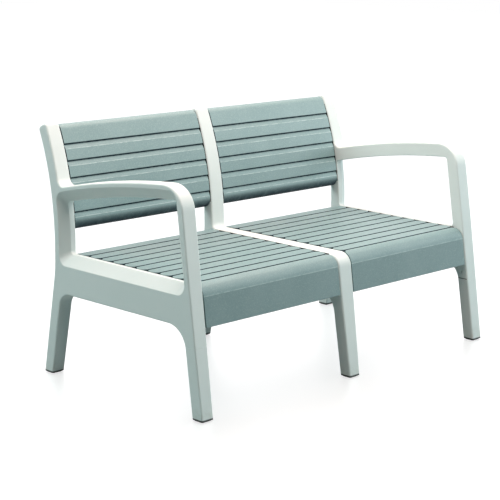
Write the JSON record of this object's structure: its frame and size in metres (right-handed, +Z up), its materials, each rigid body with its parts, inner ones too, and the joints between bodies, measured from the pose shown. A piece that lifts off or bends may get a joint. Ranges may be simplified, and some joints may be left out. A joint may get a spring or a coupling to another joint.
{
  "type": "patio loveseat",
  "caption": "Garden bench for two in moulded resin: pale frames with curved uprights and open arms carry slatted blue-grey seats and backs on splayed legs.",
  "frame": {"origin": "floor level, in the middle of the width and the depth", "axes": "+X to the right seen from the front, +Y from front to back, +Z up; the front faces -Y"},
  "size_m": [1.27, 0.6963, 0.738],
  "materials": {
    "frame_resin": "satin moulded",
    "slat_resin": "satin moulded with a fine grain",
    "glide": "matt",
    "screw": "plated"
  },
  "bodies": {
    "root": {"left_side_frame": "frame_resin", "right_side_frame": "frame_resin", "centre_frame": "frame_resin", "left_front_leg": "frame_resin", "right_front_leg": "frame_resin", "left_seat": "slat_resin", "right_seat": "slat_resin", "left_back": "slat_resin", "right_back": "slat_resin", "left_front_glide": "glide", "left_rear_glide": "glide", "centre_front_glide": "glide", "centre_rear_glide": "glide", "right_front_glide": "glide", "right_rear_glide": "glide", "left_seat_screws": "screw", "right_seat_screws": "screw", "left_back_screws": "screw", "right_back_screws": "screw", "front_leg_screws": "screw"}
  },
  "joints": []
}
